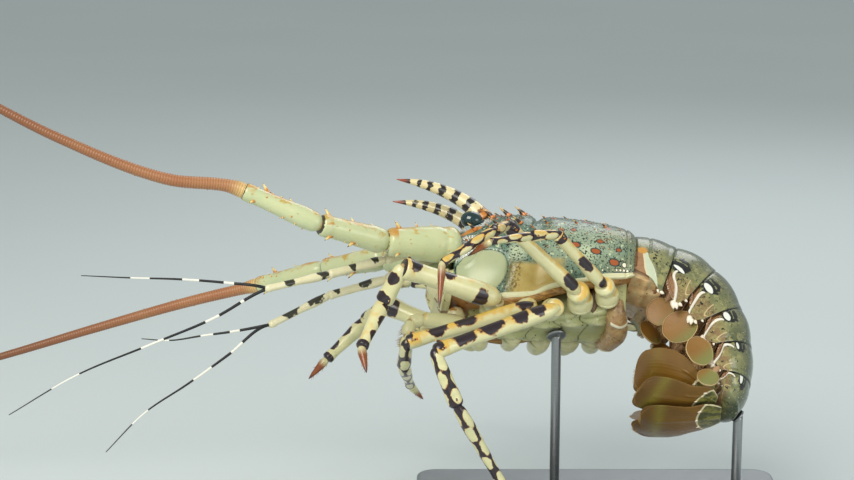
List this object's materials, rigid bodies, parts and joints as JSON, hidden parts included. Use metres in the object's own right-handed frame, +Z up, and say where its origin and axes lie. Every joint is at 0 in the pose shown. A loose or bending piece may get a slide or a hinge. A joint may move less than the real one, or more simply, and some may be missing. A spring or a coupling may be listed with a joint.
{
  "type": "ornate spiny lobster",
  "caption": "Life-size spiny lobster, swimming with its tail curled under and long feelers reaching ahead, held on a plain display stand.",
  "frame": {"origin": "centre of the underside of the stand's base, on the surface it stands on", "axes": "+Z up, +X from the head towards the tail, -Y the side that the belly is turned to"},
  "size_m": [1.004, 0.3369, 0.5143],
  "materials": {
    "back_shell": "satin, blue-green with dark and pale netting and orange spots",
    "belly_shell": "satin, cream and ochre",
    "cream_shell": "satin, cream with orange streaks",
    "leg_shell": "satin, cream with dark bands",
    "leg_tip": "satin, cream turning red-brown at the tip",
    "horn_shell": "satin, black with cream rings",
    "eye_shell": "wet black",
    "whip_shell": "satin, pink-brown, ringed",
    "small_feeler": "satin, black with white rings",
    "tail_shell": "wet olive green with white side spots",
    "fan_shell": "leathery orange-brown, ribbed",
    "stand_metal": "brushed"
  },
  "bodies": {
    "root": {"carapace": "back_shell", "breastplate": "belly_shell", "mouth_frame": "cream_shell", "horn_left": "horn_shell", "eye_left": "eye_shell", "antenna_left_base": "cream_shell", "antenna_left_peduncle": "cream_shell", "antenna_left_flagellum_1": "whip_shell", "antenna_left_flagellum_2": "whip_shell", "antenna_left_flagellum_3": "whip_shell", "antennule_left": "small_feeler", "antennule_left_outer": "small_feeler", "antennule_left_inner": "small_feeler", "mouth_leg_left": "cream_shell", "leg_left_1_upper": "leg_shell", "leg_left_1_lower": "leg_tip", "leg_left_2_upper": "leg_shell", "leg_left_2_lower": "leg_tip", "leg_left_3_upper": "leg_shell", "leg_left_3_lower": "leg_tip", "leg_left_4_upper": "leg_shell", "leg_left_4_lower": "leg_tip", "leg_left_5_upper": "leg_shell", "leg_left_5_lower": "leg_tip", "horn_right": "horn_shell", "eye_right": "eye_shell", "antenna_right_base": "cream_shell", "antenna_right_peduncle": "cream_shell", "antenna_right_flagellum_1": "whip_shell", "antenna_right_flagellum_2": "whip_shell", "antenna_right_flagellum_3": "whip_shell", "antennule_right": "small_feeler", "antennule_right_outer": "small_feeler", "antennule_right_inner": "small_feeler", "mouth_leg_right": "cream_shell", "leg_right_1_upper": "leg_shell", "leg_right_1_lower": "leg_tip", "leg_right_2_upper": "leg_shell", "leg_right_2_lower": "leg_tip", "leg_right_3_upper": "leg_shell", "leg_right_3_lower": "leg_tip", "leg_right_4_upper": "leg_shell", "leg_right_4_lower": "leg_tip", "leg_right_5_upper": "leg_shell", "leg_right_5_lower": "leg_tip", "abdomen_1": "tail_shell", "abdomen_2": "tail_shell", "abdomen_3": "tail_shell", "abdomen_4": "tail_shell", "abdomen_5": "tail_shell", "abdomen_6": "tail_shell", "telson": "fan_shell", "uropod_left_inner": "fan_shell", "uropod_left_outer": "fan_shell", "uropod_right_inner": "fan_shell", "uropod_right_outer": "fan_shell", "stand_base": "stand_metal", "stand_rod_front": "stand_metal", "stand_rod_rear": "stand_metal"}
  },
  "joints": []
}
